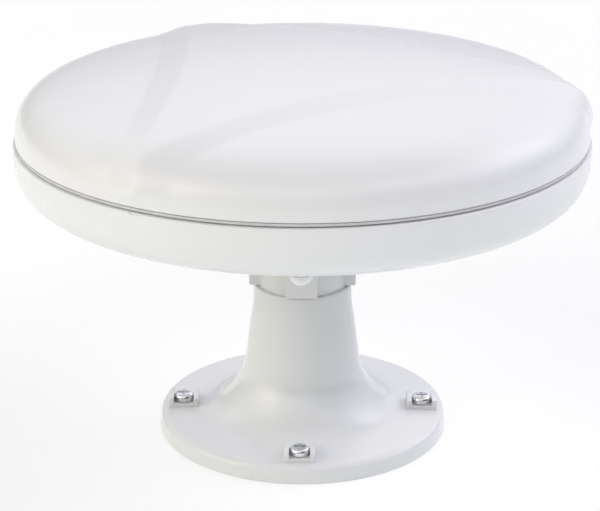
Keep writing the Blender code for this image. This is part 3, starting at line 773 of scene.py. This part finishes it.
def pedestal():
    column = along(spline(COLUMN_STATIONS, 24), 0.0012)
    # radius, z, rounding
    neck = fillet([(BORE_R, NECK_TOP, 0), (NECK_R, NECK_TOP, 0.0006),
                   (NECK_R, COLUMN_TOP + 0.0003, 0.0001), (0.0296, COLUMN_TOP, 0.0008),
                   (*COLUMN_STATIONS[0], 0)], 8)
    flange = fillet([(*COLUMN_STATIONS[-1], 0), (0.0882, 0.0104, 0.0056),
                     (FLANGE_R, 0.0, 0.0005), (0.0600, 0.0, 0)], 12)
    hollow = fillet([(0.0600, 0.0, 0.0004), (0.0560, 0.0072, 0.004), (0.0420, 0.0180, 0.006),
                     (0.0335, 0.0300, 0.006), (0.0305, 0.0440, 0), (0.0275, 0.0640, 0),
                     (0.0240, 0.0830, 0.004), (BORE_R, 0.0900, 0.003),
                     (BORE_R, NECK_TOP, 0.0004)], 5)
    profile = (even(neck[:-1], 0.002) + column + even(flange[1:-1], 0.0012)
               + even(hollow, 0.003)[:-1])
    foot = raw("pedestal_body", *grid(profile, 320, ring=True))
    adds, cuts = [], []
    block_foot = 0.004
    for at in DECK_SCREWS:
        adds.append(brick((0.0186, 0.0155, CHEEK_Z - block_foot),
                          (*at, (CHEEK_Z + block_foot) / 2), bevel=0.0006))
        # channel down to the screw seat, then the screw hole
        cuts.append(brick((0.0125, 0.0165, 0.020), (*at, SEAT_Z + 0.010)))
        cuts.append(solid(post(0.0034, 0.04, -0.01), 32, at))
    boolean(foot, adds, "UNION")
    boolean(foot, cuts, "DIFFERENCE")
    dress(foot, "pedestal", "grey_casting", 35.0, "pedestal")


def cross_wing(at, under_head, turn):
    """Tapered bar, one of the two that cut the cross recess."""
    bm = bmesh.new()
    bmesh.ops.create_cube(bm, size=1.0)
    for vert in bm.verts:
        low = vert.co.z < 0
        vert.co.x *= 0.0044 if low else 0.0078
        vert.co.y *= 0.0013 if low else 0.0020
        vert.co.z = under_head + (0.0020 if low else 0.0060)
    return tool_from(bm, (*at, 0.0), turn)


def deck_screws():
    under = SEAT_Z + HEAD_LIFT
    section = fillet([                           # radius, z, rounding
        (0, under + HEAD_H, 0), (0.0034, under + 0.0046, 0.003),
        (0.0053, under + 0.0041, 0.0025), (0.0060, under + 0.0026, 0.0015),
        (0.0060, under, 0.0004), (0.0030, under, 0.0003), (0.0030, 0.0018, 0),
        (0.0022, 0.0008, 0), (0, 0.0008, 0)], 6)
    for k, at in enumerate(DECK_SCREWS, start=1):
        screw = solid(even(section, 0.0005), 64, at, name=f"deck_screw_{k}")
        boolean(screw, [cross_wing(at, under, turn) for turn in (0, 90)], "DIFFERENCE")
        dress(screw, "pedestal", "bright_steel", 35.0, f"base_screw_{k}")


# ============================================================ stage
FLOOR_HALF, FLOOR_Z = 6, -0.0002
FLOOR_TONES = ((0.44, 0.44, 0.44), (0.45, 0.45, 0.45))    # diffuse, as the camera sees it
FLOOR_DIFFUSE = (0.80, 0.80, 0.80)               # diffuse for all other rays
FLOOR_GLOW = (0.55, 0.55, 0.55)                  # emission, as the camera sees it
FLOOR_BOUNCE = (0.2, 0.22, 0.2)                  # emission for all other rays


def studio_floor():
    corners = [(-1, -1), (1, -1), (1, 1), (-1, 1)]
    floor = raw("floor", [(FLOOR_HALF * x, FLOOR_HALF * y, FLOOR_Z) for x, y in corners],
                [(0, 1, 2, 3)])
    net = Net("studio_floor")
    tone = net.noise(net.place(), scale=3.0, detail=3.0)
    diffuse = net.add("BsdfDiffuse")
    glow = net.add("Emission")
    camera_ray = net.add("LightPath").outputs["Is Camera Ray"]
    seen = net.mix(net.remap(tone), *FLOOR_TONES)
    net.fill(diffuse, Color=net.mix(camera_ray, FLOOR_DIFFUSE, seen))
    net.fill(glow, Color=net.mix(camera_ray, FLOOR_BOUNCE, FLOOR_GLOW))
    both = net.add("AddShader")
    net.feed(both.inputs[0], diffuse.outputs[0])
    net.feed(both.inputs[1], glow.outputs[0])
    net.fill(net.out, Surface=both.outputs[0])
    floor.data.materials.append(net.mat)


# Soft lights far away, as smooth lobes: azimuth, elevation, sharpness, colour
AMBIENT = (0, 0, 0)
BACKDROP = (1.0, 1.0, 1.0)                       # what the camera sees directly
LOBES = [
    (-180, 62, 10, (0.12, 0.16, 0.11)),
    (-180, 38, 22, (0.64, 0.6, 0.74)),
    (-150, 38, 22, (0.88, 0.91, 1)),
    (-120, 38, 22, (0.97, 1, 1.09)),
    (-90, 38, 22, (0.54, 0.55, 0.75)),
    (-60, 38, 22, (0.47, 0.39, 0.32)),
    (-30, 38, 22, (1.59, 1.56, 1.5)),
    (0, 38, 22, (1.08, 1.24, 1.53)),
    (60, 38, 22, (0, 0, 0.14)),
    (90, 38, 22, (2.29, 2.28, 2.7)),
    (120, 38, 22, (3.12, 3.03, 3.07)),
    (150, 38, 22, (0.94, 0.9, 0.97)),
    (-180, 14, 28, (0.26, 0.29, 0.35)),
    (-154.3, 14, 28, (0.34, 0.37, 0.42)),
    (-77.1, 14, 28, (1.92, 1.74, 1.09)),
    (-51.4, 14, 28, (0.59, 0.48, 0)),
    (128.6, 14, 28, (0.55, 0.59, 0.61)),
    (154.3, 14, 28, (0.98, 1, 1.01)),
    (-120, 26, 40, (0.33, 0.36, 0.39)),
    (-90, 26, 40, (0.58, 0.58, 0.56)),
    (-60, 26, 40, (3.57, 3.47, 3.3)),
    (120, 26, 40, (0.35, 0.35, 0.45)),
    (180, 26, 40, (0.46, 0.4, 0.34)),
    (5, 50, 45, (0.18, 0.13, 0)),
    (30, 50, 45, (1.4, 1.36, 1.25)),
    (55, 50, 45, (1.84, 1.8, 1.72)),
]


def studio_world():
    """Ambient plus, per lobe, colour * exp(sharpness * (cos(angle off the lobe) - 1))."""
    world = bpy.data.worlds.new("studio")
    bpy.context.scene.world = world
    world.use_nodes = True
    tree = world.node_tree
    tree.nodes.clear()
    link = tree.links.new
    coord = add_node(tree, "TexCoord")
    ambient = add_node(tree, "RGB", name="ambient")
    ambient.outputs[0].default_value = (*AMBIENT, 1)
    total = ambient.outputs[0]
    for k, (azimuth, elevation, sharpness, colour) in enumerate(LOBES):
        rise = math.radians(elevation)
        dot = add_node(tree, "VectorMath", operation="DOT_PRODUCT")
        link(coord.outputs["Generated"], dot.inputs[0])
        dot.inputs[1].default_value = polar(math.cos(rise), azimuth, math.sin(rise))
        power = add_node(tree, "Math", operation="MULTIPLY_ADD")
        link(dot.outputs["Value"], power.inputs[0])
        power.inputs[1].default_value = sharpness
        power.inputs[2].default_value = -sharpness
        falloff = add_node(tree, "Math", operation="EXPONENT")
        link(power.outputs[0], falloff.inputs[0])
        lobe = add_node(tree, "VectorMath", operation="SCALE", name=f"lobe_{k}")
        lobe.inputs[0].default_value = colour
        link(falloff.outputs[0], lobe.inputs["Scale"])
        both = add_node(tree, "VectorMath", operation="ADD")
        link(total, both.inputs[0])
        link(lobe.outputs[0], both.inputs[1])
        total = both.outputs[0]
    path = add_node(tree, "LightPath")
    choice = add_node(tree, "Mix", data_type="RGBA")
    link(path.outputs["Is Camera Ray"], choice.inputs["Factor"])
    link(total, choice.inputs[6])
    choice.inputs[7].default_value = (*BACKDROP, 1)
    background = add_node(tree, "Background")
    link(choice.outputs[2], background.inputs["Color"])
    output = add_node(tree, "OutputWorld")
    link(background.outputs[0], output.inputs["Surface"])


CAMERA_AT = (0.0, -1.0821, 0.5171)
CAMERA_DIP = 0.3603                              # radians below level
SENSOR_MM, LENS_MM = 36.0, 113.9388


def studio_camera():
    scene = bpy.context.scene
    data = bpy.data.cameras.new("camera")
    camera = mesh_object("camera", data)
    data.sensor_width = SENSOR_MM
    data.lens = LENS_MM
    data.shift_x, data.shift_y = -0.0043, 0.0010
    data.clip_start, data.clip_end = 0.01, 50.0
    camera.location = CAMERA_AT
    camera.rotation_euler = (math.pi / 2 - CAMERA_DIP, 0.0, 0.0)
    scene.camera = camera
    scene.view_settings.view_transform = "Standard"
    scene.view_settings.look = "None"


paint_cad()
upper_shell()
lower_shell()
rim_gasket()
breather()
locking_ring()
pedestal()
deck_screws()
studio_floor()
studio_world()
studio_camera()
